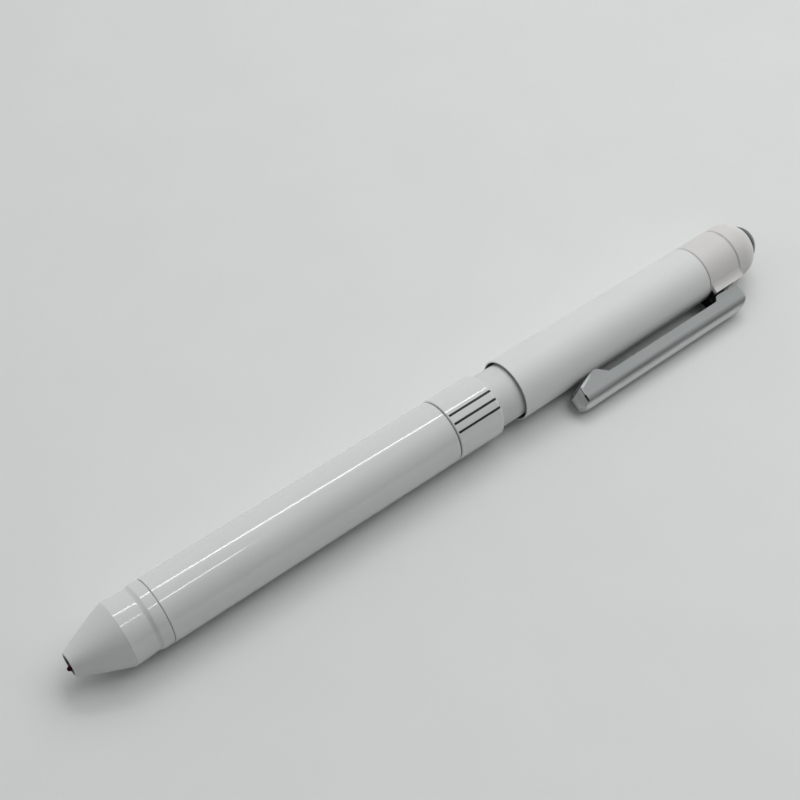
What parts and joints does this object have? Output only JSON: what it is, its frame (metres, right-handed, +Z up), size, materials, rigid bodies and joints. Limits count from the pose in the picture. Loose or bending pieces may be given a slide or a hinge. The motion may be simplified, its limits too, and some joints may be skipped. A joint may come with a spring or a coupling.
{
  "type": "twist-action multi pen",
  "caption": "White twist-action multi pen: ballpoint refills and a pencil share a mouth, the rear barrel turns to pick between them, with a sprung sheet-metal clip and a pull-off crown.",
  "frame": {"origin": "under the middle of the pen on the desk, where it lies on its index ring and leans on its clip", "axes": "+X from the mouth to the tail, +Z up, the clip on the -Y side and below level"},
  "size_m": [0.1388, 0.0148, 0.0109],
  "materials": {
    "white_lacquer": "high gloss white lacquer on thin metal tube",
    "white_ring": "gloss white moulding with black index lines",
    "white_satin": "matt white moulding",
    "white_tail": "warm white semi-gloss moulding",
    "clip_chrome": "satin chrome plated sheet",
    "disc_metal": "spun metal dome",
    "grey_moulding": "natural grey moulding",
    "red_plastic": "coloured moulding",
    "black_plastic": "coloured moulding",
    "red_point": "turned point with dried red ink",
    "point_metal": "turned metal point",
    "pencil_metal": "drawn tube",
    "graphite": "pencil lead",
    "spring_wire": "drawn wire",
    "inner_steel": "turned steel",
    "holder_metal": "pressed metal cup",
    "eraser_rubber": "soft white eraser"
  },
  "bodies": {
    "core": {"index_ring": "white_ring", "neck_sleeve": "white_satin", "carrier": "grey_moulding", "pencil_tube": "pencil_metal", "pencil_tip": "point_metal", "pencil_lead": "graphite", "pencil_slider": "grey_moulding", "pencil_spring": "spring_wire", "retainer_ring": "inner_steel"},
    "front": {"front_barrel": "white_lacquer", "nose_cone": "white_lacquer"},
    "rotor": {"selector_cam": "grey_moulding", "cam_shaft": "inner_steel", "shaft_head": "inner_steel"},
    "rear": {"rear_barrel": "white_lacquer", "drive_sleeve": "grey_moulding", "knock_spring": "spring_wire", "clip_ring": "white_tail", "clip_bracket": "black_plastic", "clip_spring": "spring_wire", "eraser_holder": "holder_metal", "eraser": "eraser_rubber"},
    "clip": {"clip": "clip_chrome", "clip_pin": "inner_steel"},
    "crown": {"crown": "white_tail", "crown_disc": "disc_metal"},
    "red_carriage": {"red_slider": "red_plastic"},
    "red_refill": {"red_refill_tube": "red_plastic", "red_refill_point": "red_point", "red_spring": "spring_wire"},
    "black_carriage": {"black_slider": "black_plastic"},
    "black_refill": {"black_refill_tube": "black_plastic", "black_refill_point": "point_metal", "black_spring": "spring_wire"}
  },
  "joints": [
    {"name": "front_unscrew", "type": "slide", "parent": "core", "child": "front", "axis": [-1, 0, 0], "range_m": [0, 0.072]},
    {"name": "barrel_twist", "type": "hinge", "parent": "core", "child": "rotor", "pos_m": [0.0212, 0.00197, 0.00545], "axis": [1, 0, 0], "range_deg": [-100, 20]},
    {"name": "knock", "type": "slide", "parent": "rotor", "child": "rear", "axis": [-1, 0, 0], "range_m": [0, 0.0035], "stiffness_N_per_m": 600, "springref_m": -0.004, "deforming": ["knock_spring"]},
    {"name": "clip_pivot", "type": "hinge", "parent": "rear", "child": "clip", "pos_m": [0.05675, -0.00463, 0.00258], "axis": [0, -0.3987, 0.9171], "range_deg": [0, 6], "stiffness_Nm_per_rad": 0.6, "springref_deg": -5.73, "deforming": ["clip_spring"]},
    {"name": "crown_pull", "type": "slide", "parent": "rear", "child": "crown", "axis": [1, 0, 0], "range_m": [0, 0.016]},
    {"name": "red_slide", "type": "slide", "parent": "core", "child": "red_carriage", "axis": [-1, 0, 0], "range_m": [-0.005, 0.001], "deforming": ["red_spring"]},
    {"name": "red_lean", "type": "hinge", "parent": "red_carriage", "child": "red_refill", "pos_m": [-0.0049, -0.00013, 0.00453], "axis": [0, 0.3987, -0.9171], "range_deg": [-1.93, 0.39]},
    {"name": "black_slide", "type": "slide", "parent": "core", "child": "black_carriage", "axis": [-1, 0, 0], "range_m": [-0.001, 0.005], "deforming": ["black_spring"]},
    {"name": "black_lean", "type": "hinge", "parent": "black_carriage", "child": "black_refill", "pos_m": [-0.0009, 0.00224, 0.00774], "axis": [0, -0.9936, 0.1132], "range_deg": [-0.39, 1.93]}
  ],
  "couplings": [
    {"joint": "red_slide", "follows": "barrel_twist", "m_per_rad": 0.0028648},
    {"joint": "red_lean", "follows": "barrel_twist", "ratio": 0.01925},
    {"joint": "black_slide", "follows": "barrel_twist", "m_per_rad": -0.0028648},
    {"joint": "black_lean", "follows": "barrel_twist", "ratio": -0.01925}
  ]
}
